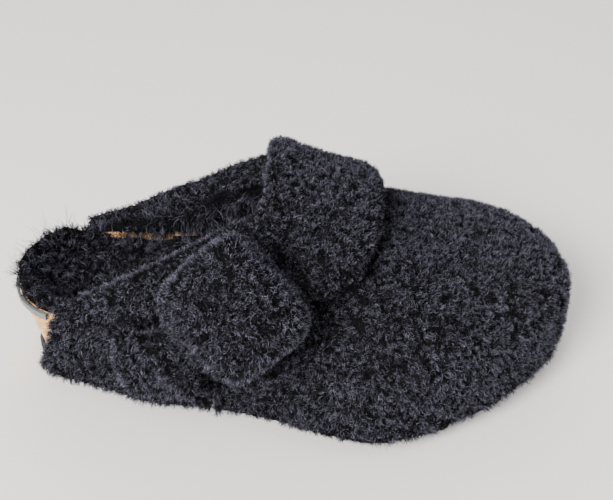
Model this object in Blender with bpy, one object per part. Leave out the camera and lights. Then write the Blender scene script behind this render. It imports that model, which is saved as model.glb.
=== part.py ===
"""A right-foot clog slipper: cork footbed on a foam sole, a closed-toe shearling upper with an
instep strap, and a big covered buckle. Toe along +X, buckle (outer) side at -Y, +Z up. The
origin is on the ground, under the middle of the sole. Sizes are in metres."""

import math

import bmesh
import bpy
from mathutils import Matrix, Vector

# ---- driving dimensions: sole ----
FOOTBED_LENGTH = 0.243
HEEL_WIDTH = 0.066
WAIST_WIDTH = 0.072
BALL_WIDTH = 0.104
BALL_SHIFT = 0.005  # the ball's middle lies this far to the outer side
TOE_SHIFT = 0.009  # the toe's tip lies this far to the inner side
TOE_ROUND_OUTER = 0.088  # length over which the outer side curves in to the tip
TOE_ROUND_INNER = 0.060
TOE_SPRING = 0.005  # rise of the sole's toe
OUTSOLE_THICKNESS = 0.009
OUTSOLE_TUCK = 0.004  # how far the sole's bottom edge lies inside its top edge
TREAD_DEPTH = 0.0025
TREAD_GROOVE = 0.004
TREAD_PITCH = 0.016
JUTE_THICKNESS = 0.0012
CORK_TAPER = 0.005  # how far the cork's lower edge lies inside its rim
CUP_FLOOR = 0.024  # height of the cork at the middle of the heel cup
HEEL_RIM = 0.042
FORE_FLOOR = 0.0185
FORE_RIM = 0.024
BED_PILE = 0.008
BED_EDGE = 0.0016  # thickness of the bed's lining under the upper's linings
BINDING_HEIGHT = 0.0024  # heel edge strip
BINDING_THICKNESS = 0.0012

# ---- driving dimensions: upper ----
SHELL_THICKNESS = 0.0135  # skin and curly outer pile
HEM_FLARE = 0.004  # the pile spreads this much further out at the hem
REAR_THICKNESS = 0.005  # pile at the side pieces' rear ends
LINING_THICKNESS = 0.0065
STRAP_THICKNESS = 0.0095
INSTEP_HEIGHT = 0.080  # skin of the upper at the back of the strap, above the ground
VAMP_HEIGHT = 0.064  # skin over the ball of the foot
TOE_HEIGHT = 0.048
UPPER_HEM = 0.0065  # lower edge of the upper, above the ground
STRAP_HALF_WIDTH = 0.027  # over the instep

# ---- driving dimensions: buckle ----
WIRE_RADIUS = 0.0017
FRAME_LENGTH = 0.033  # along the strap, between the two bars' axes
FRAME_WIDTH = 0.031  # across the strap, between the two side rods' axes
FRAME_CORNER = 0.006
BUCKLE_STRAP_WIDTH = 0.024
BUCKLE_STRAP_THICKNESS = 0.004
PRONG_RADIUS = 0.0012
LOOP_THICKNESS = 0.0013
LOOP_WIDTH = 0.019
LOOP_REACH = 0.021  # from the bar to the loop's end
TRAY_THICKNESS = 0.0014
COVER_PILE = 0.0062
COVER_CROWN = 0.006
TAIL_LENGTH = 0.046  # from the bar to the strap's end
TAIL_HALF_WIDTH = 0.019
RIVET_RADIUS = 0.0026
RIVET_SHANK = 0.0013
RIVET_SPACING = 0.010

# ---- clearances ----
GAP = 0.0004
LAYER_GAP = 0.0009  # between the dished layers of the footbed
LINING_GAP = 0.0022  # between a shell and its lining
NEST = 0.0010  # between the strap and the curved shells under it
RUNNING = 0.0003  # round the bar

HALF = FOOTBED_LENGTH / 2
RING_POINTS = 52

COLOURS = {
    "shearling": ((0.017, 0.016, 0.020), 0.95, 0.0),
    "shearling_lining": ((0.011, 0.010, 0.012), 0.95, 0.0),
    "foam": ((0.018, 0.018, 0.019), 0.7, 0.0),
    "cork": ((0.62, 0.37, 0.17), 0.85, 0.0),
    "jute": ((0.42, 0.33, 0.21), 0.9, 0.0),
    "leather": ((0.10, 0.115, 0.10), 0.55, 0.0),
    "metal": ((0.62, 0.60, 0.56), 0.28, 1.0),
}


# ---- small tools ----
def clear_scene():
    for old in list(bpy.data.objects):
        bpy.data.objects.remove(old)


def new_collection(name, hidden=False):
    collection = bpy.data.collections.new(name)
    bpy.context.scene.collection.children.link(collection)
    collection.hide_render = hidden
    return collection


def material(kind):
    found = bpy.data.materials.get(kind)
    if found:
        return found
    colour, roughness, metallic = COLOURS[kind]
    found = bpy.data.materials.new(kind)
    found.use_nodes = True
    shader = found.node_tree.nodes["Principled BSDF"]
    shader.inputs["Base Color"].default_value = (*colour, 1)
    shader.inputs["Roughness"].default_value = roughness
    shader.inputs["Metallic"].default_value = metallic
    found.diffuse_color = (*colour, 1)
    return found


def add_object(name, shape, kind, collection):
    thing = bpy.data.objects.new(name, shape)
    collection.objects.link(thing)
    if kind:
        shape.materials.append(material(kind))
    return thing


def mesh_from(name, grid_mesh, kind, collection, smooth=True):
    """Tidies a bmesh, closes it into outward faces and makes it an object."""
    bmesh.ops.remove_doubles(grid_mesh, verts=grid_mesh.verts, dist=0.00001)
    bmesh.ops.dissolve_degenerate(grid_mesh, edges=grid_mesh.edges, dist=0.00001)
    bmesh.ops.recalc_face_normals(grid_mesh, faces=grid_mesh.faces)
    shape = bpy.data.meshes.new(name)
    grid_mesh.to_mesh(shape)
    grid_mesh.free()
    if smooth:
        shape.shade_smooth()
        shape.set_sharp_from_angle(angle=math.radians(40))
    return add_object(name, shape, kind, collection)


def make_cutter(name, build, matrix, collection):
    shape = bpy.data.meshes.new(name)
    solid = bmesh.new()
    build(solid)
    bmesh.ops.transform(solid, matrix=matrix, verts=solid.verts)
    bmesh.ops.recalc_face_normals(solid, faces=solid.faces)
    solid.to_mesh(shape)
    solid.free()
    cutter = add_object(name, shape, None, collection)
    cutter.hide_render = True
    cutter.display_type = "WIRE"
    return cutter


def box_shape(low, high):
    """A builder for a box between two corners."""

    def build(solid):
        size = Vector(high) - Vector(low)
        middle = (Vector(high) + Vector(low)) / 2
        spread = Matrix.Translation(middle) @ Matrix.Diagonal((*size, 1))
        bmesh.ops.create_cube(solid, size=1, matrix=spread)

    return build


def cut(thing, cutter):
    boolean = thing.modifiers.new("cut_" + cutter.name, "BOOLEAN")
    boolean.operation = "DIFFERENCE"
    boolean.object = cutter
    boolean.solver = "EXACT"


def ease(t):
    t = min(max(t, 0.0), 1.0)
    return t * t * (3 - 2 * t)


def through(stations, x):
    """A smooth value through (x, value) stations, level at each station."""
    if x <= stations[0][0]:
        return stations[0][1]
    for (x0, v0), (x1, v1) in zip(stations, stations[1:]):
        if x <= x1:
            return v0 + (v1 - v0) * ease((x - x0) / (x1 - x0))
    return stations[-1][1]


def curve_through(stations, x):
    """A value on the Catmull-Rom curve through (x, value) stations."""
    count = len(stations)
    if x <= stations[0][0]:
        return stations[0][1]
    if x >= stations[-1][0]:
        return stations[-1][1]
    i = max(k for k in range(count - 1) if stations[k][0] <= x)
    (x1, v1), (x2, v2) = stations[i], stations[i + 1]
    x0, v0 = stations[i - 1] if i else (2 * x1 - x2, 2 * v1 - v2)
    x3, v3 = stations[i + 2] if i + 2 < count else (2 * x2 - x1, 2 * v2 - v1)
    slope1 = (v2 - v0) / (x2 - x0) * (x2 - x1)
    slope2 = (v3 - v1) / (x3 - x1) * (x2 - x1)
    t = (x - x1) / (x2 - x1)
    return (
        v1 * (2 * t**3 - 3 * t**2 + 1)
        + slope1 * (t**3 - 2 * t**2 + t)
        + v2 * (3 * t**2 - 2 * t**3)
        + slope2 * (t**3 - t**2)
    )


def bisect(rising, target, low, high):
    """Where a rising function meets its target."""
    for _ in range(40):
        middle = (low + high) / 2
        if rising(middle) < target:
            low = middle
        else:
            high = middle
    return (low + high) / 2


# ---- the sole's outline ----
WIDTHS = (
    (-0.34 * FOOTBED_LENGTH, HEEL_WIDTH),
    (-0.13 * FOOTBED_LENGTH, WAIST_WIDTH),
    (0.19 * FOOTBED_LENGTH, BALL_WIDTH),
)


def centre_y(x):
    """The outline's middle line: it bends outward to the ball, then inward to the toe."""
    bends = (
        (-0.36 * FOOTBED_LENGTH, 0.0),
        (0.12 * FOOTBED_LENGTH, -BALL_SHIFT),
        (0.5 * FOOTBED_LENGTH, TOE_SHIFT),
    )
    return through(bends, x)


def side_width(x, side, grow):
    """Distance from the middle line to the edge; side is -1 outer and +1 inner."""
    width = through(WIDTHS, x) / 2 + grow
    heel_round = HEEL_WIDTH / 2 + grow
    back = (-HALF - grow + heel_round - x) / heel_round
    if back > 0:
        width *= math.sqrt(max(0.0, 1 - back * back))
    toe_round = (TOE_ROUND_OUTER if side < 0 else TOE_ROUND_INNER) + grow
    front = (x - (HALF + grow - toe_round)) / toe_round
    if front > 0:
        width *= max(0.0, 1 - front**2.3) ** (1 / 2.1)
    return width


def edge_point(x, side, grow):
    return centre_y(x) + side * side_width(x, side, grow)


def spring(x):
    """How much the toe end curves up."""
    start = 0.18 * FOOTBED_LENGTH
    return TOE_SPRING * max(0.0, (x - start) / (HALF - start)) ** 2


def outline_ring(height, share=1.0):
    """Points round the sole: share of the way from the middle line to the footbed's edge, at
    height(x, share). The share may be a function of x and the local half width."""
    points = []
    half_count = RING_POINTS // 2
    for i in range(RING_POINTS):
        angle = 2 * math.pi * i / RING_POINTS
        x = math.cos(angle) * HALF
        side = 1 if math.sin(angle) > 0 else -1
        y = centre_y(x) if i in (0, half_count) else edge_point(x, side, 0)
        spine_x = min(max(x, -HALF + HEEL_WIDTH / 2), HALF - TOE_ROUND_INNER)
        spine = Vector((spine_x, centre_y(spine_x)))
        out = Vector((x, y)) - spine
        part = share(x, out.length) if callable(share) else share
        here = spine + out * part
        points.append(Vector((here.x, here.y, height(here.x, part) + spring(here.x))))
    return points


def inset(distance):
    """The share that lies this far inside the footbed's edge."""
    return lambda x, width: 1 - distance / width


def ring_solid(name, rings, kind, collection):
    """Joins rings of RING_POINTS into one skin and closes both thin end rings."""
    solid = bmesh.new()
    rows = [[solid.verts.new(point) for point in ring] for ring in rings]
    count = RING_POINTS
    for row, above in zip(rows, rows[1:]):
        for i in range(count):
            j = (i + 1) % count
            solid.faces.new((row[i], row[j], above[j], above[i]))
    for row in (rows[0], rows[-1]):
        solid.faces.new((row[0], row[1], row[count - 1]))
        for i in range(1, count // 2 - 1):
            solid.faces.new((row[i], row[i + 1], row[count - i - 1], row[count - i]))
        solid.faces.new((row[count // 2 - 1], row[count // 2], row[count // 2 + 1]))
    return mesh_from(name, solid, kind, collection)


# ---- heights of the sole's layers ----
def cork_bottom(x, share):
    return OUTSOLE_THICKNESS + 2 * GAP + JUTE_THICKNESS


def rim_height(x):
    return through(((-0.22 * FOOTBED_LENGTH, HEEL_RIM), (0.12 * FOOTBED_LENGTH, FORE_RIM)), x)


def floor_height(x):
    return through(((-0.30 * FOOTBED_LENGTH, CUP_FLOOR), (0.10 * FOOTBED_LENGTH, FORE_FLOOR)), x)


def cork_top(x, share):
    return floor_height(x) + (rim_height(x) - floor_height(x)) * min(share, 1) ** 3.2


def jute_low(x, share):
    return cork_top(x, share) + LAYER_GAP


def jute_high(x, share):
    return jute_low(x, share) + JUTE_THICKNESS


def bed_low(x, share):
    return jute_high(x, share) + LAYER_GAP


SHARES = (0.08, 0.3, 0.5, 0.62, 0.70)
RIM_SHARES = (*SHARES, 0.77, 0.83, 0.89)


def level(value):
    return lambda x, share: value


def build_sole(parts, cutters):
    tuck = OUTSOLE_TUCK
    top = OUTSOLE_THICKNESS
    outsole = ring_solid(
        "outsole",
        [outline_ring(level(0), share) for share in (0.08, 0.5, 0.75)]
        + [outline_ring(level(0), inset(tuck + 0.001))]
        + [outline_ring(level(0.0012), inset(tuck))]
        + [outline_ring(level(top - 0.0015), inset(tuck - 0.001))]
        + [outline_ring(level(top), inset(tuck))]
        + [outline_ring(level(top), share) for share in (0.55, 0.08)],
        "foam",
        parts,
    )
    first = -0.42 * FOOTBED_LENGTH
    grooves = int(0.86 * FOOTBED_LENGTH / TREAD_PITCH)
    for i in range(grooves + 1):
        x = first + i * TREAD_PITCH
        if abs(x) < TREAD_PITCH:  # leaves a plain patch under the middle of the sole
            continue
        low = (x - TREAD_GROOVE / 2, -BALL_WIDTH, -0.01)
        high = (x + TREAD_GROOVE / 2, BALL_WIDTH, TREAD_DEPTH + spring(x))
        groove = make_cutter(f"tread_{i}", box_shape(low, high), Matrix(), cutters)
        cut(outsole, groove)

    base = top + GAP
    low_edge = inset(CORK_TAPER)
    ring_solid(
        "lower_jute",
        [outline_ring(level(base), share) for share in (0.08, 0.55, low_edge)]
        + [outline_ring(level(base + JUTE_THICKNESS), s) for s in (low_edge, 0.55, 0.08)],
        "jute",
        parts,
    )

    def below_rim(drop):
        return lambda x, share: cork_top(x, 1) - drop

    ring_solid(
        "cork_footbed",
        [outline_ring(cork_bottom, share) for share in (0.08, 0.55, low_edge)]
        + [outline_ring(below_rim(0.006), inset(0.0006))]
        + [outline_ring(below_rim(0.002), 1)]
        + [outline_ring(below_rim(0), inset(0.0008))]
        + [outline_ring(cork_top, share) for share in reversed(RIM_SHARES)],
        "cork",
        parts,
    )
    ring_solid(
        "upper_jute",
        [outline_ring(jute_low, share) for share in (*RIM_SHARES, inset(0.0025))]
        + [outline_ring(jute_high, share) for share in (inset(0.0025), *reversed(RIM_SHARES))],
        "jute",
        parts,
    )
    build_bed(parts)
    build_binding(parts)


def build_bed(parts):
    """The footbed's pile: thin under the linings' hems, full inside them, and spilling over
    the heel's rim."""
    inside = LINING_THICKNESS + LINING_GAP + 2 * GAP
    lining_rear = QUARTER_REAR + LINING_SETBACK
    spills = ((QUARTER_REAR - 0.008, -0.0012), (QUARTER_REAR + 0.001, 0.0014))

    def edge(distance, extra):
        def share(x, width):
            spill = through(spills, x) + extra
            open_heel = ease((lining_rear - 0.003 - x) / 0.010)
            in_toe = 0.5 * distance * ease((x / FOOTBED_LENGTH - 0.27) / 0.13)
            return 1 - (distance + in_toe + (spill - distance) * open_heel) / width

        return share

    def raised(part):
        return lambda x, share: bed_low(x, share) + BED_PILE * part + max(0, share - 0.8) * 0.01

    def covered(x, share):
        full = ease((lining_rear - 0.003 - x) / 0.010)
        return bed_low(x, share) + BED_EDGE + (BED_PILE * 0.75 - BED_EDGE) * full

    ring_solid(
        "footbed_lining",
        [outline_ring(bed_low, share) for share in (*SHARES, 0.77, 0.83)]
        + [outline_ring(raised(0), edge(0.0028, 0.0003))]
        + [outline_ring(raised(0.2), edge(0.0025, 0.0))]
        + [outline_ring(covered, edge(inside - 0.0004, 0.0008))]
        + [outline_ring(raised(0.8), edge(inside + 0.0004, 0.0018))]
        + [outline_ring(raised(1), edge(inside + 0.0045, 0.0045))]
        + [outline_ring(raised(1), share) for share in (0.5, 0.3, 0.08)],
        "shearling_lining",
        parts,
    )


def build_binding(parts):
    """A smooth strip round the outside of the cork's heel rim, between the side pieces."""
    solid = bmesh.new()
    steps = 24
    radius = HEEL_WIDTH / 2
    centre = -HALF + radius
    rim = rim_height(-HALF)
    ends = shell_rear(WALL_SHARE * 0.8) - BINDING_STOP
    reach = math.acos((centre - ends) / (radius + GAP + BINDING_THICKNESS))
    rows = []
    for i in range(steps + 1):
        angle = math.pi - reach + 2 * reach * i / steps
        row = []
        for out, z in (
            (GAP, rim - BINDING_HEIGHT),
            (GAP + BINDING_THICKNESS, rim - BINDING_HEIGHT),
            (GAP + BINDING_THICKNESS, rim + 0.0006),
            (GAP, rim + 0.0006),
        ):
            x = centre + (radius + out) * math.cos(angle)
            row.append(solid.verts.new((x, (radius + out) * math.sin(angle), z)))
        rows.append(row)
    for row, after in zip(rows, rows[1:]):
        for k in range(4):
            j = (k + 1) % 4
            solid.faces.new((row[k], row[j], after[j], after[k]))
    solid.faces.new(rows[0])
    solid.faces.new(rows[-1])
    return mesh_from("heel_binding", solid, "leather", parts)


# ---- the upper's skin surface ----
QUARTER_REAR = -0.403 * FOOTBED_LENGTH
REAR_LEAN = 0.016
LINING_SETBACK = 0.015  # the linings end this far in front of the side pieces
BINDING_STOP = 0.0022  # clear of the side shells' back edges
INSTEP_X = 0.0  # back edge of the vamp and strap on the ridge
TOPS = (
    (-0.46 * FOOTBED_LENGTH, INSTEP_HEIGHT * 0.80),
    (-0.28 * FOOTBED_LENGTH, INSTEP_HEIGHT * 0.98),
    (-0.06 * FOOTBED_LENGTH, INSTEP_HEIGHT * 1.06),
    (0.05 * FOOTBED_LENGTH, INSTEP_HEIGHT * 0.90),
    (0.17 * FOOTBED_LENGTH, VAMP_HEIGHT),
    (0.34 * FOOTBED_LENGTH, TOE_HEIGHT),
    (0.50 * FOOTBED_LENGTH, TOE_HEIGHT * 0.86),
)
WALL_SHARE = 0.16  # share of a section's parameter that the upright wall takes
ARCH_POWER = 2.15
RIDGE_LEAN = 0.008  # the ridge over the instep lies this far to the inner side


def wall_top(x):
    return rim_height(x) + 0.005


def skin(x, t, grow):
    """A point of the upper: t runs 0 at the outer hem, 0.5 on the ridge and 1 at the inner
    hem, and grow is the distance outside the skin."""
    out = grow + GAP
    side = -1 if t < 0.5 else 1
    base = wall_top(x)
    share = min(t, 1 - t) / WALL_SHARE
    reach = min(x, HALF + out)
    edge = edge_point(reach, side, out)
    if grow > 0:
        flare = HEM_FLARE * max(0.0, 1 - share) ** 1.5 * grow / SHELL_THICKNESS
        edge += (edge - centre_y(reach)) * flare / (BALL_WIDTH / 2)
    if share <= 1:
        return Vector((reach, edge, UPPER_HEM + (base - UPPER_HEM) * share + spring(reach)))
    angle = (t - WALL_SHARE) / (1 - 2 * WALL_SHARE) * math.pi
    dome_length = 0.075 + out
    front = (reach - (HALF + out - dome_length)) / dome_length
    dome = max(0.0, 1 - max(0.0, front) ** 2.6) ** (1 / 2.3)
    rise = (curve_through(TOPS, reach) + grow - base) * dome
    across = abs(math.cos(angle)) ** (2 / ARCH_POWER)
    up = math.sin(angle) ** (2 / ARCH_POWER)
    middle = centre_y(reach)
    lean = RIDGE_LEAN * up * ease((0.2 * FOOTBED_LENGTH - reach) / (0.2 * FOOTBED_LENGTH))
    y = middle + (edge - middle) * across + lean * dome
    return Vector((reach, y, base + rise * up + spring(reach)))


def skin_normal(x, t, grow):
    small = 0.0005
    along = skin(x + small, t, grow) - skin(x - small, t, grow)
    round_it = skin(x, t + 0.002, grow) - skin(x, t - 0.002, grow)
    return along.cross(round_it).normalized()


def patch_solid(name, point, columns, rows, low, high, kind, collection, closed_toe=False):
    """A closed sheet: point(u, v, grow) for u and v in 0..1, between grow low and high. On a
    closed toe the two sides meet at u = 1 and need no end faces."""
    solid = bmesh.new()
    faces = []
    layers = []
    for grow in (low, high):
        layers.append(
            [
                [solid.verts.new(point(i / columns, j / rows, grow)) for j in range(rows + 1)]
                for i in range(columns + 1)
            ]
        )
    for layer in layers:
        for i in range(columns):
            for j in range(rows):
                faces.append(
                    (layer[i][j], layer[i + 1][j], layer[i + 1][j + 1], layer[i][j + 1])
                )
    inner, outer = layers
    for i in range(columns):
        for j in (0, rows):
            faces.append((inner[i][j], inner[i + 1][j], outer[i + 1][j], outer[i][j]))
    for j in range(rows):
        for i in (0,) if closed_toe else (0, columns):
            faces.append((inner[i][j], inner[i][j + 1], outer[i][j + 1], outer[i][j]))
    for corners in faces:
        solid.faces.new(corners)
    return mesh_from(name, solid, kind, collection)


def seam_x(t):
    """The back edge of the vamp; the side pieces end a gap behind it."""
    share = 1 - abs(t - 0.5) / 0.5
    outer_back, inner_back = -0.125 * FOOTBED_LENGTH, -0.075 * FOOTBED_LENGTH
    back = outer_back if t < 0.5 else inner_back
    return back + (INSTEP_X - back) * ease(share)


HEM_LIFTS = (  # of the linings' hems over the cork's rim, to clear the bed's edge
    (-0.12 * FOOTBED_LENGTH, BED_EDGE + 0.0014),
    (0.0, BED_EDGE + 0.0045),
)


def hem_t(lining):
    """Where a wall starts: the outer shells at the hem, the linings above the cork's rim."""

    def start(x):
        if not lining:
            return 0.0
        target = rim_height(x) + through(HEM_LIFTS, x) + 1.35 * spring(x)
        return bisect(lambda t: skin(x, t, 0).z, target, 0.0, 0.49)

    return start


def vamp_point(lining):
    start = hem_t(lining)

    def point(u, v, grow):
        x_front = HALF + grow + GAP
        sweep = math.sin(u * math.pi / 2)
        x = seam_x(v) + (x_front - seam_x(v)) * sweep
        first = start(min(x, HALF))
        t = first + (1 - 2 * first) * v
        x = seam_x(t) + (x_front - seam_x(t)) * sweep
        return skin(x, t, grow)

    return point


RIMS = {  # (share of the way from the rear to the seam, rim height above the ground)
    -1: ((0.0, 0.050), (0.22, 0.057), (0.5, 0.067), (0.78, 0.077), (1.0, 0.081)),
    1: ((0.0, 0.050), (0.3, 0.053), (0.6, 0.061), (0.85, 0.073), (1.0, 0.082)),
}
SEAM_GAP = 0.0006


def shell_rear(t):
    """The side shells' back edge, which leans back towards the hem."""
    return QUARTER_REAR - REAR_LEAN * max(0.0, 1 - t / WALL_SHARE)


def quarter_point(side, lining):
    start = hem_t(lining)

    def place(u, t):
        front = seam_x(t if side < 0 else 1 - t) - SEAM_GAP
        rear = QUARTER_REAR + LINING_SETBACK if lining else shell_rear(t)
        return rear + (front - rear) * u

    def flip(t):
        return t if side < 0 else 1 - t

    def point(u, v, grow):
        rim = curve_through(RIMS[side], u) - (0.001 if lining else 0)
        top = bisect(lambda t: skin(place(u, t), flip(t), 0).z, rim, 0.0, 0.485)
        first = start(place(u, 0.2))
        t = first + (top - first) * v
        x = place(u, t)
        if grow > 0:
            full = ease((x - QUARTER_REAR) / 0.04)
            grow = REAR_THICKNESS + (grow - REAR_THICKNESS) * full
        return skin(x, flip(t), grow)

    return point


def build_upper(parts):
    shell = SHELL_THICKNESS
    patch_solid(
        "vamp_shell", vamp_point(False), 20, 28, 0, shell, "shearling", parts, closed_toe=True
    )
    patch_solid(
        "vamp_lining",
        vamp_point(True),
        20,
        28,
        -LINING_GAP - LINING_THICKNESS,
        -LINING_GAP,
        "shearling_lining",
        parts,
        closed_toe=True,
    )
    for side, word in ((-1, "lateral"), (1, "medial")):
        patch_solid(
            word + "_quarter", quarter_point(side, False), 14, 10, 0, shell, "shearling", parts
        )
        patch_solid(
            word + "_lining",
            quarter_point(side, True),
            14,
            10,
            -LINING_GAP - LINING_THICKNESS,
            -LINING_GAP,
            "shearling_lining",
            parts,
        )


# ---- the buckle's place ----
GIRTH = 0.25  # metres round the upper for a whole unit of t, near enough
LOOP_LIFT = 0.0019  # of the loop above the middle of the shell, which curves away from it
RIVET_HEAD = 0.0010
RIVET_LENGTH = 0.0075
RIVET_CLEARANCE = 0.0006  # under the head, which leans with the shell
BUCKLE_X = -0.080 * FOOTBED_LENGTH
BUCKLE_T = 0.243
STRAP_ANGLE = math.radians(42)  # of the strap at the buckle, down from straight back
TAIL_ANGLE = math.radians(10)  # of the tail's end
FRAME_LIFT = 0.0085  # of the bars' axes above the shearling


def buckle_matrix():
    """Local axes at the buckle: X along the strap to its tail, Y across it, Z outward."""
    place = skin(BUCKLE_X, BUCKLE_T, SHELL_THICKNESS)
    outward = skin_normal(BUCKLE_X, BUCKLE_T, SHELL_THICKNESS)
    back = Vector((-1, 0, 0))
    back = (back - outward * back.dot(outward)).normalized()
    down = back.cross(outward).normalized()
    if down.z > 0:
        down.negate()
    along = back * math.cos(STRAP_ANGLE) + down * math.sin(STRAP_ANGLE)
    across = outward.cross(along).normalized()
    turned = Matrix((along, across, outward)).transposed().to_4x4()
    return Matrix.Translation(place) @ turned


def rounded_rectangle(half_x, half_y, corner, steps):
    """Corner arcs of a rounded rectangle, anticlockwise."""
    points = []
    for quadrant in range(4):
        cx = (half_x - corner) * (1 if quadrant in (0, 3) else -1)
        cy = (half_y - corner) * (1 if quadrant in (0, 1) else -1)
        for step in range(steps + 1):
            angle = (quadrant + step / steps) * math.pi / 2
            points.append((cx + corner * math.cos(angle), cy + corner * math.sin(angle)))
    return points


def tube(name, points, radius, kind, collection, matrix, cyclic=False):
    shape = bpy.data.curves.new(name, "CURVE")
    shape.dimensions = "3D"
    shape.bevel_depth = radius
    shape.bevel_resolution = 2
    shape.use_fill_caps = True
    line = shape.splines.new("POLY")
    line.points.add(len(points) - 1)
    for place, point in zip(line.points, points):
        place.co = (*point, 1)
    line.use_cyclic_u = cyclic
    thing = add_object(name, shape, kind, collection)
    thing.matrix_world = matrix
    return thing


def strip_solid(name, path, thickness, half_depth, kind, collection, matrix):
    """A strip of even thickness along a path in the buckle's X-Z plane, with eased edges."""
    solid = bmesh.new()
    eased = half_depth - thickness * 0.25
    profile = (
        (1, -eased),
        (1, eased),
        (0, half_depth),
        (-1, eased),
        (-1, -eased),
        (0, -half_depth),
    )
    rows = []
    for i, here in enumerate(path):
        before = path[max(i - 1, 0)]
        after = path[min(i + 1, len(path) - 1)]
        along = Vector((after[0] - before[0], after[1] - before[1])).normalized()
        normal = Vector((-along.y, along.x)) * thickness / 2
        row = []
        for side, depth in profile:
            x, z = here[0] + side * normal.x, here[1] + side * normal.y
            row.append(solid.verts.new((x, depth, z)))
        rows.append(row)
    for row, after in zip(rows, rows[1:]):
        for k in range(len(profile)):
            j = (k + 1) % len(profile)
            solid.faces.new((row[k], row[j], after[j], after[k]))
    solid.faces.new(rows[0])
    solid.faces.new(rows[-1])
    thing = mesh_from(name, solid, kind, collection)
    thing.matrix_world = matrix
    return thing


BAR_X = FRAME_LENGTH / 2  # rear bar, the buckle's hinge
LOOP_RADIUS = WIRE_RADIUS + RUNNING + LOOP_THICKNESS / 2
STRAP_OVER = WIRE_RADIUS + RUNNING + LOOP_THICKNESS + 0.0006  # strap's skin, above the bar
TRAY_FLOOR = FRAME_LIFT + STRAP_OVER + BUCKLE_STRAP_THICKNESS + 0.0007
TRAY_SLOPE = 0.09  # the tray's floor is higher at its front
TRAY_HALF_WIDTH = FRAME_WIDTH / 2 + WIRE_RADIUS + GAP + TRAY_THICKNESS
TRAY_FRONT = -(FRAME_LENGTH / 2 + WIRE_RADIUS + GAP + TRAY_THICKNESS)
TRAY_REAR = BAR_X + 0.0015
TRAY_SKIRT = FRAME_LIFT - WIRE_RADIUS * 0.6
LOOP_END = BAR_X + LOOP_REACH
RIVET_X = LOOP_END - 0.005


def shell_height(along):
    """Height of the side piece's pile in the buckle's axes, under the strap's middle line."""
    inward = buckle_matrix().inverted()
    cosine, sine = math.cos(STRAP_ANGLE), math.sin(STRAP_ANGLE)

    def surface(reach):
        t = BUCKLE_T - reach * sine / GIRTH
        return inward @ skin(BUCKLE_X - reach * cosine, t, SHELL_THICKNESS)

    reach = bisect(lambda r: surface(r).x, along, 0.0, 0.06)
    return surface(reach).z


def build_buckle(parts, cutters, place):
    corners = rounded_rectangle(FRAME_LENGTH / 2, FRAME_WIDTH / 2, FRAME_CORNER, 5)
    frame_points = [(x, y, FRAME_LIFT) for x, y in corners]
    tube("buckle_frame", frame_points, WIRE_RADIUS, "metal", parts, place, cyclic=True)

    # The prong: most of a turn round the bar, then straight to the front bar.
    turn = WIRE_RADIUS + RUNNING + PRONG_RADIUS
    tip_lift = FRAME_LIFT + WIRE_RADIUS + PRONG_RADIUS + 0.0004
    start, end = math.radians(-25), math.radians(-258)
    prong = []
    for i in range(15):
        angle = start + (end - start) * i / 14
        prong.append((BAR_X + turn * math.cos(angle), 0, FRAME_LIFT + turn * math.sin(angle)))
    first = Vector(prong[-1])
    tip = Vector((-FRAME_LENGTH / 2 - 0.0008, 0, tip_lift))
    prong += [tuple(first.lerp(tip, share)) for share in (0.12, 0.3, 0.6, 1)]
    tube("buckle_prong", prong, PRONG_RADIUS, "metal", parts, place)

    # The anchor loop: up from the rivets, round the bar and back on itself.
    low = LOOP_THICKNESS / 2 + LOOP_LIFT
    back_low = low + LOOP_THICKNESS + GAP
    path = [(x, shell_height(x) + low) for x in (LOOP_END, RIVET_X, RIVET_X - 0.004)]
    path += [(BAR_X + 0.0065, low - 0.0002), (BAR_X + 0.0035, low + 0.0018)]
    for i in range(13):
        angle = math.radians(-105 - 203 * i / 12)
        path.append(
            (BAR_X + LOOP_RADIUS * math.cos(angle), FRAME_LIFT + LOOP_RADIUS * math.sin(angle))
        )
    path += [(BAR_X + 0.0050, FRAME_LIFT - 0.0012), (BAR_X + 0.0085, back_low + 0.0006)]
    for x in (RIVET_X - 0.004, RIVET_X, LOOP_END - 0.0005):
        path.append((x, shell_height(x) + back_low))
    loop = strip_solid(
        "anchor_loop", path, LOOP_THICKNESS, LOOP_WIDTH / 2, "leather", parts, place
    )
    slot_half = PRONG_RADIUS + 0.0012
    slot = box_shape((BAR_X - 0.008, -slot_half, 0.003), (BAR_X + 0.0048, slot_half, 0.03))
    cut(loop, make_cutter("loop_slot", slot, place, cutters))

    build_rivets(parts, cutters, place, loop)
    build_tray(parts, cutters, place)
    build_cover(parts, cutters, place)


def cylinder(radius, z_low, z_high):
    def build(solid):
        middle = Matrix.Translation((0, 0, (z_low + z_high) / 2))
        bmesh.ops.create_cone(
            solid,
            cap_ends=True,
            segments=16,
            radius1=radius,
            radius2=radius,
            depth=z_high - z_low,
            matrix=middle,
        )

    return build


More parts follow.
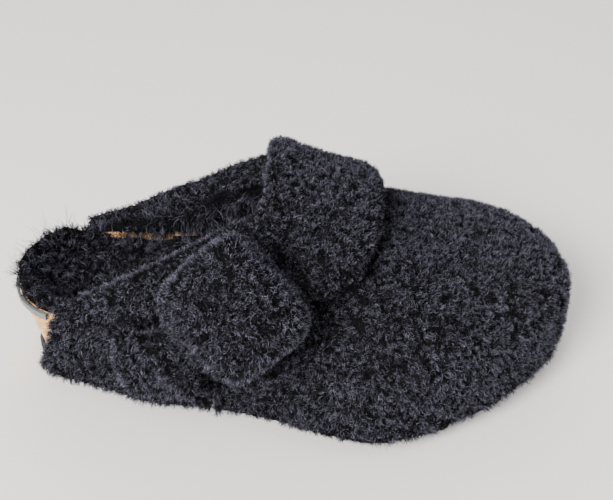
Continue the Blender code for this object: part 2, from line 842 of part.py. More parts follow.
def build_rivets(parts, cutters, place, loop):
    """Two rivets side by side, through both layers of the loop and into the side piece."""
    quarter = bpy.data.objects["lateral_quarter"]
    height = shell_height(RIVET_X)
    under = height + LOOP_LIFT + 2 * LOOP_THICKNESS + GAP + RIVET_CLEARANCE
    slope = (shell_height(RIVET_X + 0.002) - shell_height(RIVET_X - 0.002)) / 0.004
    lean = Matrix.Rotation(-math.atan(slope), 4, "Y")
    for word, y in (("upper", RIVET_SPACING / 2), ("lower", -RIVET_SPACING / 2)):
        spot = place @ Matrix.Translation((RIVET_X, y, under)) @ lean
        solid = bmesh.new()
        profile = (
            (RIVET_SHANK, -RIVET_LENGTH),
            (RIVET_SHANK, 0),
            (RIVET_RADIUS, 0),
            (RIVET_RADIUS, RIVET_HEAD * 0.4),
            (RIVET_RADIUS * 0.6, RIVET_HEAD),
        )
        rows = []
        for radius, z in profile:
            turns = [2 * math.pi * k / 16 for k in range(16)]
            rows.append(
                [solid.verts.new((radius * math.cos(a), radius * math.sin(a), z)) for a in turns]
            )
        for row, above in zip(rows, rows[1:]):
            for k in range(16):
                j = (k + 1) % 16
                solid.faces.new((row[k], row[j], above[j], above[k]))
        solid.faces.new(rows[0])
        solid.faces.new(rows[-1])
        rivet = mesh_from("anchor_rivet_" + word, solid, "metal", parts)
        rivet.matrix_world = spot
        hole = cylinder(RIVET_SHANK + RUNNING, -RIVET_LENGTH - RUNNING, 0.001)
        cutter = make_cutter("rivet_hole_" + word, hole, spot, cutters)
        cut(loop, cutter)
        cut(quarter, cutter)


def tray_top(x):
    return TRAY_FLOOR + TRAY_THICKNESS + TRAY_SLOPE * (TRAY_REAR - x)


SOFT_WALL = ((0.0, 0.985), (0.25, 1.0), (0.6, 1.0), (0.84, 0.965), (1.0, 0.87))
STIFF_WALL = ((0.0, 1.0), (0.9, 1.0), (1.0, 0.985))


def block(name, half_y, x_low, x_high, z_low, top, corner, crown, levels, kind, parts, place):
    """A rounded block over the buckle: an upright wall through (share of its height, scale)
    levels, then a crowned top."""
    middle, half_x = (x_low + x_high) / 2, (x_high - x_low) / 2
    steps = 5
    caps = [0.66, 0.4, 0.15]
    solid = bmesh.new()
    rows = []

    def ring(scale, height):
        row = []
        for x, y in rounded_rectangle(half_x, half_y, corner, steps):
            px, py = middle + x * scale, y * scale
            row.append(solid.verts.new((px, py, height(px, py, scale))))
        rows.append(row)

    for share, scale in levels:
        ring(scale, lambda px, py, s, k=share: z_low + (top(px) - z_low) * k)
    for scale in caps:
        ring(scale, lambda px, py, s: top(px) + crown * (1 - s * s))
    count = len(rows[0])
    for row, above in zip(rows, rows[1:]):
        for i in range(count):
            j = (i + 1) % count
            solid.faces.new((row[i], row[j], above[j], above[i]))
    for row in (rows[0], rows[-1]):
        hub = solid.verts.new(sum((v.co for v in row), Vector()) / count)
        for i in range(count):
            solid.faces.new((row[i], row[(i + 1) % count], hub))
    thing = mesh_from(name, solid, kind, parts)
    thing.matrix_world = place
    return thing


def build_tray(parts, cutters, place):
    tray = block(
        "cover_backing",
        TRAY_HALF_WIDTH,
        TRAY_FRONT,
        TRAY_REAR,
        TRAY_SKIRT,
        tray_top,
        0.005,
        0.0,
        STIFF_WALL,
        "leather",
        parts,
        place,
    )
    inner = TRAY_HALF_WIDTH - TRAY_THICKNESS
    front = TRAY_FRONT + TRAY_THICKNESS
    floor_front = TRAY_FLOOR + TRAY_SLOPE * (TRAY_REAR - front)

    def hollow(solid):
        far = TRAY_REAR + 0.01
        floor_far = TRAY_FLOOR - TRAY_SLOPE * 0.01
        corners = []
        for y in (-inner, inner):
            corners.append(
                [
                    solid.verts.new((front, y, -0.01)),
                    solid.verts.new((far, y, -0.01)),
                    solid.verts.new((far, y, floor_far)),
                    solid.verts.new((front, y, floor_front)),
                ]
            )
        near, opposite = corners
        solid.faces.new(near)
        solid.faces.new(opposite)
        for i in range(4):
            j = (i + 1) % 4
            solid.faces.new((near[i], near[j], opposite[j], opposite[i]))

    cut(tray, make_cutter("tray_hollow", hollow, place, cutters))


def build_cover(parts, cutters, place):
    front = TRAY_FRONT - GAP - COVER_PILE
    rear = TRAY_REAR + 0.002
    half_width = TRAY_HALF_WIDTH + GAP + COVER_PILE

    def top(x):
        return tray_top(x) + GAP + COVER_PILE

    cover = block(
        "buckle_cover",
        half_width,
        front,
        rear,
        TRAY_SKIRT,
        top,
        0.013,
        COVER_CROWN,
        SOFT_WALL,
        "shearling",
        parts,
        place,
    )
    inner = TRAY_HALF_WIDTH + GAP
    inner_front = TRAY_FRONT - GAP

    def hollow(solid):
        far = rear + 0.01
        corners = []
        for y in (-inner, inner):
            corners.append(
                [
                    solid.verts.new((inner_front, y, -0.01)),
                    solid.verts.new((far, y, -0.01)),
                    solid.verts.new((far, y, tray_top(far) + GAP)),
                    solid.verts.new((inner_front, y, tray_top(inner_front) + GAP)),
                ]
            )
        near, opposite = corners
        solid.faces.new(near)
        solid.faces.new(opposite)
        for i in range(4):
            j = (i + 1) % 4
            solid.faces.new((near[i], near[j], opposite[j], opposite[i]))

    cut(cover, make_cutter("cover_hollow", hollow, place, cutters))


# ---- the strap ----
STRAP_STATIONS = (  # (share of the length, t, share of the half width), inner side to buckle
    (0.055, 0.885, 0.86),
    (0.062, 0.78, 0.94),
    (0.075, 0.66, 1.0),
    (0.080, 0.56, 1.02),
    (0.072, 0.48, 1.0),
    (0.050, 0.41, 0.92),
    (0.018, 0.355, 0.74),
)
STRAP_COLUMNS = 10


def across_strap(x, t, run_x, run_y, reach, grow):
    """The point at a distance across a strap that runs along (run_x, run_y) on the skin."""
    run = Vector((run_x, run_y)).normalized()
    small_x, small_t = 0.001, 0.004
    by_x = (skin(x + small_x, t, grow) - skin(x - small_x, t, grow)).length / (2 * small_x)
    by_t = (skin(x, t + small_t, grow) - skin(x, t - small_t, grow)).length / (2 * small_t)
    return skin(x - run.y * reach / by_x, t + run.x * reach / by_t, grow)


def shell_row(x, t, wide, run_x, run_t, low, thickness):
    """A strap section lying on the shells, as its skin side and its pile side."""
    row = ([], [])
    for layer in (0, 1):
        for k in range(STRAP_COLUMNS + 1):
            v = -1 + 2 * k / STRAP_COLUMNS
            edge = 1 - 0.35 * abs(v) ** 6 if layer else 1
            grow = low + layer * thickness * edge
            row[layer].append(across_strap(x, t, run_x, run_t * GIRTH, v * wide, grow))
    return row


def local_row(corners, half_width, place):
    """A flat strap section in the buckle's axes, from its skin and pile points (x, z)."""
    row = ([], [])
    for layer, (x, z) in enumerate(corners):
        for k in range(STRAP_COLUMNS + 1):
            v = -1 + 2 * k / STRAP_COLUMNS
            row[layer].append(place @ Vector((x, v * half_width, z)))
    return row


def build_strap(parts, cutters, place):
    rows = []
    lying = SHELL_THICKNESS + NEST
    stations = [(x * FOOTBED_LENGTH, t, w * STRAP_HALF_WIDTH) for x, t, w in STRAP_STATIONS]
    steps = 3
    for here, after in zip(stations, stations[1:]):
        for step in range(steps):
            share = step / steps
            x, t, wide = (a + (b - a) * share for a, b in zip(here, after))
            run_x, run_t = after[0] - here[0], after[1] - here[1]
            rows.append(shell_row(x, t, wide, run_x, run_t, lying, STRAP_THICKNESS))
    rows.append(shell_row(*stations[-1], run_x, run_t, lying, STRAP_THICKNESS * 0.6))

    half = BUCKLE_STRAP_WIDTH / 2
    thin = BUCKLE_STRAP_THICKNESS
    under = FRAME_LIFT - WIRE_RADIUS - 0.0005 - thin
    over = FRAME_LIFT + STRAP_OVER
    front = -FRAME_LENGTH / 2
    for x, low, wide in (
        (front - 0.004, under - 0.0006, half + 0.002),
        (front + 0.001, under, half),
        (front + 0.007, under + 0.0006, half),
        (front + 0.015, under + 0.0032, half),
        (BAR_X - 0.012, over - 0.0040, half),
        (BAR_X - 0.0055, over - 0.0009, half),
    ):
        rows.append(local_row(((x, low), (x, low + thin)), wide, place))
    for degrees in (90, 62, 34):
        angle = math.radians(degrees)
        corners = []
        for radius in (STRAP_OVER, STRAP_OVER + thin):
            corners.append(
                (BAR_X + radius * math.cos(angle), FRAME_LIFT + radius * math.sin(angle))
            )
        rows.append(local_row(corners, half, place))
    rows += tail_rows(place)
    strap = loft_sheet("instep_strap", rows, STRAP_COLUMNS, "shearling", parts)
    slot_half = PRONG_RADIUS + 0.0012
    slot = box_shape((BAR_X - 0.020, -slot_half, -0.004), (BAR_X + 0.0052, slot_half, 0.03))
    cut(strap, make_cutter("strap_slot", slot, place, cutters))
    return strap


def tail_rows(place):
    """From the bar over the anchor loop and down on to the shearling, bending level, to a
    round end."""
    rows = []
    steps = 10
    angle = STRAP_ANGLE
    start = BAR_X + 0.0095
    x = BUCKLE_X - start * math.cos(angle)
    t = BUCKLE_T - start * math.sin(angle) / GIRTH
    along = start
    stack = LOOP_LIFT + 2 * LOOP_THICKNESS + GAP + RIVET_CLEARANCE + RIVET_HEAD + GAP
    step = (TAIL_LENGTH - 0.0095) / steps
    for i in range(steps + 1):
        share = i / steps
        swell = ease(share / 0.4)
        thickness = BUCKLE_STRAP_THICKNESS * (1 - swell) + STRAP_THICKNESS * swell
        round_end = math.sqrt(max(0.0, 1 - max(0.0, (share - 0.62) / 0.39) ** 2))
        thickness *= 0.5 + 0.5 * round_end
        half = BUCKLE_STRAP_WIDTH / 2 * (1 - swell) + TAIL_HALF_WIDTH * swell
        wide = half * max(round_end, 0.3)
        run_x, run_t = -math.cos(angle), -math.sin(angle) / GIRTH
        low = SHELL_THICKNESS + NEST
        lying = shell_row(x, t, wide, run_x, run_t, low, thickness)
        high = shell_height(along) + stack
        flat = local_row(((along, high), (along, high + thickness)), wide, place)
        settle = ease((along - LOOP_END + 0.002) / 0.012)
        row = ([], [])
        for layer in (0, 1):
            for above, below in zip(flat[layer], lying[layer]):
                row[layer].append(above.lerp(below, settle))
        rows.append(row)
        angle = STRAP_ANGLE + (TAIL_ANGLE - STRAP_ANGLE) * ease(share)
        x -= step * math.cos(angle)
        t -= step * math.sin(angle) / GIRTH
        along += step
    return rows


def loft_sheet(name, rows, columns, kind, parts):
    solid = bmesh.new()
    layers = [
        [[solid.verts.new(point) for point in row[layer]] for row in rows]
        for layer in (0, 1)
    ]
    inner, outer = layers
    faces = []
    for i in range(len(rows) - 1):
        for layer in layers:
            for k in range(columns):
                faces.append(
                    (layer[i][k], layer[i + 1][k], layer[i + 1][k + 1], layer[i][k + 1])
                )
        for k in (0, columns):
            faces.append((inner[i][k], inner[i + 1][k], outer[i + 1][k], outer[i][k]))
    for i in (0, len(rows) - 1):
        for k in range(columns):
            faces.append((inner[i][k], inner[i][k + 1], outer[i][k + 1], outer[i][k]))
    for corners in faces:
        solid.faces.new(corners)
    return mesh_from(name, solid, kind, parts)


def main():
    clear_scene()
    parts = new_collection("fluffy_slipper")
    cutters = new_collection("cutters", hidden=True)
    build_sole(parts, cutters)
    build_upper(parts)
    place = buckle_matrix()
    build_buckle(parts, cutters, place)
    build_strap(parts, cutters, place)


main()
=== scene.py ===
"""Looks of the fluffy clog slipper: shearling pelts with modelled curls, cork, jute, foam sole,
leather and metal, with a plain floor, soft light and the camera. Sizes are in metres."""

import math

import bpy
import numpy as np
from mathutils import Matrix, Vector, kdtree, noise
from mathutils.bvhtree import BVHTree


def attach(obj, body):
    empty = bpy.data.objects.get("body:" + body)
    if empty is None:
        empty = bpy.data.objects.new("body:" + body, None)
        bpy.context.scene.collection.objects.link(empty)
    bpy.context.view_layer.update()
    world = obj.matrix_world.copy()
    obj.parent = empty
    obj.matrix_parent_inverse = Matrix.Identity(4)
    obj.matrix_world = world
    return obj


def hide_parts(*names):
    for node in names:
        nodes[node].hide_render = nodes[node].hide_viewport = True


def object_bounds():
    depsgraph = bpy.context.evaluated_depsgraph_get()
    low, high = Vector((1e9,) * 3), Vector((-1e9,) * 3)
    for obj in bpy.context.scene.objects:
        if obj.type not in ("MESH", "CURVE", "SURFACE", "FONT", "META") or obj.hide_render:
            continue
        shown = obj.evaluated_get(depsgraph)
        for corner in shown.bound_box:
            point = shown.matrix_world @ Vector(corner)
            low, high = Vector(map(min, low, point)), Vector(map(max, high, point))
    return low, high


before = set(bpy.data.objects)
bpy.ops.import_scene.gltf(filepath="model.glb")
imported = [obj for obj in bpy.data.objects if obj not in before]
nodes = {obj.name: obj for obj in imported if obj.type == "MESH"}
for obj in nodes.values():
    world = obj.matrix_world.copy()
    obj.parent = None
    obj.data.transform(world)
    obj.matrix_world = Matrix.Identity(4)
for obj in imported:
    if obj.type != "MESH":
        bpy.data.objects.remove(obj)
cad_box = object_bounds()
MM = 0.001


# ---- camera ----
CAMERA_EYE = (0.0052, -0.3062, 0.2840)
CAMERA_AIM = (0.0112, 0.0748, 0.0)
CAMERA_ROLL = math.radians(1.0)
CAMERA_LENS = 49.2  # millimetres, on a sensor 36 wide


def add_camera():
    eye, aim = Vector(CAMERA_EYE), Vector(CAMERA_AIM)
    look = (aim - eye).normalized()
    right = look.cross(Vector((0, 0, 1))).normalized()
    up = right.cross(look)
    turned = right * math.cos(CAMERA_ROLL) + up * math.sin(CAMERA_ROLL)
    upright = up * math.cos(CAMERA_ROLL) - right * math.sin(CAMERA_ROLL)
    camera = bpy.data.cameras.new("camera")
    camera.lens = CAMERA_LENS
    camera.sensor_width = 36
    camera.clip_start = 0.01
    holder = bpy.data.objects.new("camera", camera)
    bpy.context.scene.collection.objects.link(holder)
    axes = Matrix((turned, upright, -look)).transposed().to_4x4()
    holder.matrix_world = Matrix.Translation(eye) @ axes
    bpy.context.scene.camera = holder


# ---- materials ----
def new_material(name, colour, roughness, metallic=0.0, sheen=0.0, specular=0.5):
    """A Principled material with plain values, which a node tree may then replace."""
    made = bpy.data.materials.new(name)
    made.use_nodes = True
    shader = made.node_tree.nodes["Principled BSDF"]
    shader.inputs["Base Color"].default_value = (*colour, 1)
    shader.inputs["Roughness"].default_value = roughness
    shader.inputs["Metallic"].default_value = metallic
    shader.inputs["Sheen Weight"].default_value = sheen
    shader.inputs["Sheen Roughness"].default_value = 0.5
    shader.inputs["Specular IOR Level"].default_value = specular
    return made


def texture_node(tree, kind, **values):
    """A texture node on object coordinates, with its sockets set by name."""
    coordinates = tree.nodes.new("ShaderNodeTexCoord")
    texture = tree.nodes.new(kind)
    for name, value in values.items():
        texture.inputs[name.replace("_", " ")].default_value = value
    tree.links.new(coordinates.outputs["Object"], texture.inputs["Vector"])
    return texture


def ramp_node(tree, source, stops):
    """The source's value turned into a colour by stops of (place, colour)."""
    ramp = tree.nodes.new("ShaderNodeValToRGB")
    band = ramp.color_ramp
    while len(band.elements) < len(stops):
        band.elements.new(0.5)
    for element, (place, colour) in zip(band.elements, stops):
        element.position = place
        element.color = (*colour, 1)
    tree.links.new(source, ramp.inputs["Fac"])
    return ramp.outputs["Color"]


def grey(value):
    return (value, value, value)


def bump(tree, height, strength, distance):
    shader = tree.nodes["Principled BSDF"]
    node = tree.nodes.new("ShaderNodeBump")
    node.inputs["Strength"].default_value = strength
    node.inputs["Distance"].default_value = distance
    tree.links.new(height, node.inputs["Height"])
    tree.links.new(node.outputs["Normal"], shader.inputs["Normal"])


def fleece_skin(name, dark, light):
    """The dense under-wool between the curls: black wool, made near-black as painted shade deep in
    the pile.
    """
    made = new_material(name, dark, 0.95, specular=0.05)
    tree = made.node_tree
    shader = tree.nodes["Principled BSDF"]
    blotch = texture_node(tree, "ShaderNodeTexNoise", Scale=420.0, Detail=4.0, Roughness=0.65)
    colour = ramp_node(tree, blotch.outputs["Fac"], ((0.35, dark), (0.7, light)))
    tree.links.new(colour, shader.inputs["Base Color"])
    rough = ramp_node(tree, blotch.outputs["Fac"], ((0.3, grey(0.8)), (0.7, grey(1.0))))
    tree.links.new(rough, shader.inputs["Roughness"])
    curls = texture_node(tree, "ShaderNodeTexNoise", Scale=900.0, Detail=3.0, Roughness=0.6)
    bump(tree, curls.outputs["Fac"], 0.8, 0.0006)
    return made


def cork_material():
    made = new_material("cork", (0.72, 0.40, 0.19), 0.8, specular=0.15)
    tree = made.node_tree
    shader = tree.nodes["Principled BSDF"]
    grains = texture_node(tree, "ShaderNodeTexVoronoi", Scale=520.0, Randomness=1.0)
    tones = (
        (0.0, (0.42, 0.19, 0.07)),
        (0.25, (0.70, 0.37, 0.15)),
        (0.6, (0.80, 0.46, 0.20)),
        (1.0, (0.88, 0.56, 0.27)),
    )
    colour = ramp_node(tree, grains.outputs["Color"], tones)
    patches = texture_node(tree, "ShaderNodeTexNoise", Scale=260.0, Detail=5.0, Roughness=0.7)
    flecks = ramp_node(tree, patches.outputs["Fac"], ((0.34, grey(0.35)), (0.46, grey(1.0))))
    mix = tree.nodes.new("ShaderNodeMix")
    mix.data_type = "RGBA"
    mix.blend_type = "MULTIPLY"
    mix.inputs["Factor"].default_value = 1.0
    tree.links.new(colour, mix.inputs["A"])
    tree.links.new(flecks, mix.inputs["B"])
    tree.links.new(mix.outputs["Result"], shader.inputs["Base Color"])
    rough = ramp_node(tree, patches.outputs["Fac"], ((0.3, grey(0.95)), (0.6, grey(0.7))))
    tree.links.new(rough, shader.inputs["Roughness"])
    bump(tree, grains.outputs["Distance"], 0.6, 0.0004)
    return made


def foam_material():
    made = new_material("sole_foam", (0.016, 0.016, 0.018), 0.7, specular=0.35)
    tree = made.node_tree
    shader = tree.nodes["Principled BSDF"]
    grain = texture_node(tree, "ShaderNodeTexNoise", Scale=1500.0, Detail=3.0, Roughness=0.6)
    wear = texture_node(tree, "ShaderNodeTexNoise", Scale=60.0, Detail=4.0, Roughness=0.6)
    tones = ((0.35, (0.012, 0.012, 0.014)), (0.7, (0.030, 0.029, 0.030)))
    tree.links.new(ramp_node(tree, wear.outputs["Fac"], tones), shader.inputs["Base Color"])
    rough = ramp_node(tree, grain.outputs["Fac"], ((0.3, grey(0.55)), (0.7, grey(0.85))))
    tree.links.new(rough, shader.inputs["Roughness"])
    bump(tree, grain.outputs["Fac"], 0.4, 0.0002)
    return made


def jute_material():
    made = new_material("jute", (0.42, 0.33, 0.21), 0.9, specular=0.2)
    tree = made.node_tree
    shader = tree.nodes["Principled BSDF"]
    weave = texture_node(tree, "ShaderNodeTexWave", Scale=260.0, Distortion=1.2, Detail=2.0)
    tones = ((0.2, (0.24, 0.17, 0.09)), (0.8, (0.50, 0.40, 0.26)))
    tree.links.new(ramp_node(tree, weave.outputs["Fac"], tones), shader.inputs["Base Color"])
    bump(tree, weave.outputs["Fac"], 0.7, 0.0004)
    return made


def leather_material(name, dark, light, scale, strength):
    made = new_material(name, dark, 0.5, specular=0.4)
    tree = made.node_tree
    shader = tree.nodes["Principled BSDF"]
    pores = texture_node(tree, "ShaderNodeTexVoronoi", Scale=scale, Randomness=1.0)
    wear = texture_node(tree, "ShaderNodeTexNoise", Scale=180.0, Detail=5.0, Roughness=0.6)
    colour = ramp_node(tree, wear.outputs["Fac"], ((0.35, dark), (0.7, light)))
    tree.links.new(colour, shader.inputs["Base Color"])
    rough = ramp_node(tree, wear.outputs["Fac"], ((0.3, grey(0.42)), (0.7, grey(0.68))))
    tree.links.new(rough, shader.inputs["Roughness"])
    bump(tree, pores.outputs["Distance"], strength, 0.0003)
    return made


def metal_material():
    made = new_material("buckle_metal", (0.62, 0.60, 0.56), 0.28, metallic=1.0)
    tree = made.node_tree
    shader = tree.nodes["Principled BSDF"]
    scratches = texture_node(tree, "ShaderNodeTexNoise", Scale=700.0, Detail=6.0, Roughness=0.7)
    rough = ramp_node(tree, scratches.outputs["Fac"], ((0.3, grey(0.2)), (0.7, grey(0.42))))
    tree.links.new(rough, shader.inputs["Roughness"])
    tones = ((0.3, (0.50, 0.48, 0.45)), (0.7, (0.70, 0.68, 0.64)))
    tree.links.new(ramp_node(tree, scratches.outputs["Fac"], tones), shader.inputs["Base Color"])
    bump(tree, scratches.outputs["Fac"], 0.15, 0.0001)
    return made


# ---- meshes as arrays, and ray trees made from the CAD nodes ----
def points_of(mesh):
    points = np.empty(len(mesh.vertices) * 3)
    mesh.vertices.foreach_get("co", points)
    return points.reshape(-1, 3)


def normals_of(mesh):
    normals = np.empty(len(mesh.vertices) * 3)
    mesh.vertices.foreach_get("normal", normals)
    return normals.reshape(-1, 3)


def triangles_of(mesh):
    mesh.calc_loop_triangles()
    faces = np.empty(len(mesh.loop_triangles) * 3, np.int32)
    mesh.loop_triangles.foreach_get("vertices", faces)
    return faces.reshape(-1, 3)


def edges_of(mesh):
    edges = np.empty(len(mesh.edges) * 2, np.int32)
    mesh.edges.foreach_get("vertices", edges)
    return edges.reshape(-1, 2)


ARRAYS = {
    name: (points_of(holder.data), triangles_of(holder.data)) for name, holder in nodes.items()
}


def tree_of(names):
    """One ray tree over the named CAD nodes."""
    points, faces, base = [], [], 0
    for name in names:
        node_points, node_faces = ARRAYS[name]
        points.append(node_points)
        faces.append(node_faces + base)
        base += len(node_points)
    return BVHTree.FromPolygons(np.vstack(points).tolist(), np.vstack(faces).tolist())


def blocked(tree, start, way, reach):
    """Whether something in the tree stands in the way."""
    return tree.ray_cast(start, way, reach)[0] is not None


def relax(values, edges, rounds):
    """Averages a value or a position over each vertex's neighbours."""
    flat = values.ndim == 1
    if flat:
        values = values[:, None]
    counts = np.bincount(edges.ravel(), minlength=len(values)).clip(1)[:, None]
    for _ in range(rounds):
        total = np.zeros_like(values)
        np.add.at(total, edges[:, 0], values[edges[:, 1]])
        np.add.at(total, edges[:, 1], values[edges[:, 0]])
        values = 0.5 * values + 0.5 * total / counts
    return values[:, 0] if flat else values


# ---- what lies beside what ----
SHELLS = ("vamp_shell", "lateral_quarter", "medial_quarter")
OVERLAYS = ("instep_strap", "buckle_cover")
LININGS = ("footbed_lining", "vamp_lining", "lateral_lining", "medial_lining")
SOLE = ("outsole", "cork_footbed", "lower_jute", "upper_jute")
FOOT_AXIS_HEIGHT = 10 * MM  # the upper's pile leans away from a line along the foot this high


def neighbours(node):
    """The nodes that a soft one joins at a seam, and those that only lie on it or under it."""
    if node in SHELLS:
        return [n for n in SHELLS + SOLE if n != node], list(OVERLAYS)
    if node in OVERLAYS:
        return [], [n for n in SHELLS + OVERLAYS if n != node]
    return [n for n in LININGS + SOLE if n != node], []


EVERYTHING = tree_of(nodes)
LOOK_OUT_COUNT = 22
LOWEST_LOOK = 1.3  # how far the look outs reach down, from 0 at the top of a ball to 2
GOLDEN_TURN = math.pi * (3 - math.sqrt(5))
OUT_OF_REACH = 300 * MM  # longer than the slipper


def look_outs():
    """Directions spread evenly over a ball, most of them from above the floor."""
    ways = []
    for k in range(LOOK_OUT_COUNT):
        up = 1 - LOWEST_LOOK * (k + 0.5) / LOOK_OUT_COUNT
        turn = k * GOLDEN_TURN
        flat = math.sqrt(1 - up * up)
        ways.append(Vector((flat * math.cos(turn), flat * math.sin(turn), up)))
    return ways


LOOK_OUTS = look_outs()


def can_be_seen(point):
    """Whether a line from the point along any look out is free of the CAD nodes."""
    return not all(blocked(EVERYTHING, point, way, OUT_OF_REACH) for way in LOOK_OUTS)


def raised(node, point, way):
    """A blocked strand's other way: up out of the bed, or outward from the upper."""
    free_way = Vector((0, 0, 1))
    if node not in LININGS:
        free_way = Vector((0, point[1], point[2] - FOOT_AXIS_HEIGHT)).normalized()
    return (Vector(way) * 0.5 + free_way).normalized()


# ---- pelts: the soft solids, remeshed and sunk so that curls can stand on them ----
CLEARANCE = 3.5 * MM  # a pelt with less room than this above it grows no pile straight up
RAY_LIFT = 0.3 * MM  # a ray starts this far off the surface that it leaves
SEAM_FILL = 2.5  # times as many strands where they have to fill a seam
PILE_LOOK = 3 * MM  # pile grows only where a point this far out can be seen
SKIN_STEP = 0.8 * MM  # the ray through a pelt starts this far in
THICKEST = 30 * MM  # and ends this far on
SINK_SHARE = 0.42  # a pelt sinks by no more than this share of its thickness
SEAM_REACH = 0.004  # a pelt sinks less within this of a joined piece
SEAM_FADE = 0.0045
SEAM_SINK = 0.1  # the share of its sinking that it keeps right at the seam
COVERED_SINK = 0.08  # the share of its sinking that a covered stretch keeps
LUMP = 0.9 * MM  # the height of the pelt's lumps
LUMP_WAVES = ((90, 0.6), (230, 0.4))  # waves in a metre, and their weight


def remeshed(node, voxel):
    """The node's solid as an even mesh, smoothed a little."""
    source = bpy.data.objects.new(node + "_source", nodes[node].data.copy())
    bpy.context.scene.collection.objects.link(source)
    remesh = source.modifiers.new("remesh", "REMESH")
    remesh.mode = "VOXEL"
    remesh.voxel_size = voxel
    graph = bpy.context.evaluated_depsgraph_get()
    mesh = bpy.data.meshes.new_from_object(source.evaluated_get(graph))
    bpy.data.objects.remove(source)
    mesh.name = node + "_pelt"
    mesh.vertices.foreach_set("co", relax(points_of(mesh), edges_of(mesh), 2).ravel())
    mesh.update()
    return mesh


def room_above(node, point, normal, others):
    """Whether pile can stand up here, and the share of strands to grow."""
    start, way = Vector(point), Vector(normal)
    share, stands = 1.0, True
    if blocked(others, start + way * RAY_LIFT, way, CLEARANCE):
        stands = False
        way = raised(node, point, normal)
        share = 0.0 if blocked(others, start + way * RAY_LIFT, way, CLEARANCE) else SEAM_FILL
    if share and not can_be_seen(start + way * PILE_LOOK):
        share = 0.0
    return stands, share


def sink_here(start, way, sink, itself, seams):
    """How far the pelt sinks, less where it is thin and beside a joined piece."""
    inward = -way
    far = itself.ray_cast(start + inward * SKIN_STEP, inward, THICKEST)[3]
    if far is not None:
        sink = min(sink, SINK_SHARE * (far + SKIN_STEP))
    beside = seams.find_nearest(start, SEAM_REACH)[3] if seams else None
    if beside is not None:
        sink *= min(1.0, SEAM_SINK + beside / SEAM_FADE)
    return sink


def waves_at(point, waves):
    """Smooth noise at a point, from -1 to 1 or so."""
    return sum(weight * noise.noise(Vector(point) * pitch) for pitch, weight in waves)


def make_pelt(node, voxel, sink, body, material, others):
    """Returns the pelt and, for each of its vertices, the share of strands to grow there."""
    mesh = remeshed(node, voxel)
    points, normals, edges = points_of(mesh), normals_of(mesh), edges_of(mesh)
    itself = tree_of([node])
    joined = neighbours(node)[0]
    seams = tree_of(joined) if joined else None
    free, shares, depth = (np.ones(len(points)) for _ in range(3))
    for i, (point, normal) in enumerate(zip(points.tolist(), normals.tolist())):
        free[i], shares[i] = room_above(node, point, normal, others)
        depth[i] = sink_here(Vector(point), Vector(normal), sink, itself, seams)
    free = relax(free, edges, 2)
    depth = relax(depth, edges, 3)
    lumps = np.array([waves_at(point, LUMP_WAVES) for point in points.tolist()])
    move = -depth * (COVERED_SINK + (1 - COVERED_SINK) * free) + LUMP * lumps * free
    points = points + normals * move[:, None]
    mesh.vertices.foreach_set("co", points.ravel())
    mesh.shade_smooth()
    mesh.update()
    mesh.materials.clear()
    mesh.materials.append(material)
    pelt = bpy.data.objects.new(node + "_pelt", mesh)
    bpy.context.scene.collection.objects.link(pelt)
    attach(pelt, body)
    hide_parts(node)
    return pelt, shares


# ---- pile: tapered curled ribbons in locks ----
PIT_WAVES = ((230, 0.7), (520, 0.5))
PIT_SLOPE = 3.2
PIT_START = 0.3
PIT_PAINTED_SHADE = 2.4  # painted shade: tones lost in the deepest hollow between tufts
CREVICE = 7 * MM  # the pile is shorter, and darker with painted shade, this near to a piece over or under it
CREVICE_CURVE = 1.3
CREVICE_PAINTED_SHADE = 2.0  # painted shade: tones lost right beside that piece
CREVICE_SHORT = 0.5  # and the share of the length lost
LOCK_TONE = 0.5  # how much tones vary between locks, against 1 between strands
SQUARE_MM = 1e6  # in a square metre
OPEN_SHARE = 0.5  # a face whose share of strands is no more than this grows none
ROOT_LIFT = 0.2 * MM
CLEAR_SHARE = 0.8  # the share of a strand's length that has to be clear of other pieces
GATHER = 0.25  # how far apart the strands of a fully clumped lock stay, against their roots
GATHER_CURVE = 1.1
COIL_CURVE = 0.6  # below 1, so that the curl opens early along the strand
PHASE = 0.5  # how far out of step the curls of a lock are, in radians
TAPER = 0.7  # the share of its width that a strand loses by its tip
FLOOR_LIFT = 0.4 * MM  # no strand goes lower than this
MOST_FACES = 190000  # in one piece


def pit_depth(root):
    """0 on the pile's tufts to 1 in the small hollows between them."""
    return min(1.0, max(0.0, waves_at(root, PIT_WAVES) * PIT_SLOPE - PIT_START))


def crevice(roots, node):
    """0 in the open to 1 against a piece that lies over or under this one; it sets the painted
    shade there and shortens the pile.
    """
    laid = neighbours(node)[1]
    if not laid:
        return np.zeros(len(roots))
    tree = tree_of(laid)
    gaps = [tree.find_nearest(root, CREVICE)[3] for root in roots.tolist()]
    return np.array([0.0 if gap is None else (1 - gap / CREVICE) ** CREVICE_CURVE for gap in gaps])


def unit(vectors):
    return vectors / np.linalg.norm(vectors, axis=1)[:, None]


def varied(draws, least, span):
    """Draws from 0 to 1 moved to start at the least value and to cover the span."""
    return least + span * draws


def scatter(random, mesh, shares, density):
    """Seeded roots on a pelt, the way up at each, and the area that they stand on."""
    points, normals, faces = points_of(mesh), normals_of(mesh), triangles_of(mesh)
    a, b, c = (points[faces[:, k]] for k in range(3))
    areas = np.linalg.norm(np.cross(b - a, c - a), axis=1) / 2
    share = shares[faces].mean(axis=1)
    weights = areas * np.where(share > OPEN_SHARE, share, 0.0)
    area = weights.sum()
    count = int(area * SQUARE_MM * density)
    chosen = random.choice(len(faces), count, p=weights / area)
    u, v = random.random(count), random.random(count)
    fold = u + v > 1
    u[fold], v[fold] = 1 - u[fold], 1 - v[fold]
    parts = np.stack([1 - u - v, u, v], 1)[:, :, None]
    corners = faces[chosen]
    roots = (points[corners] * parts).sum(axis=1)
    return roots, unit((normals[corners] * parts).sum(axis=1)), area


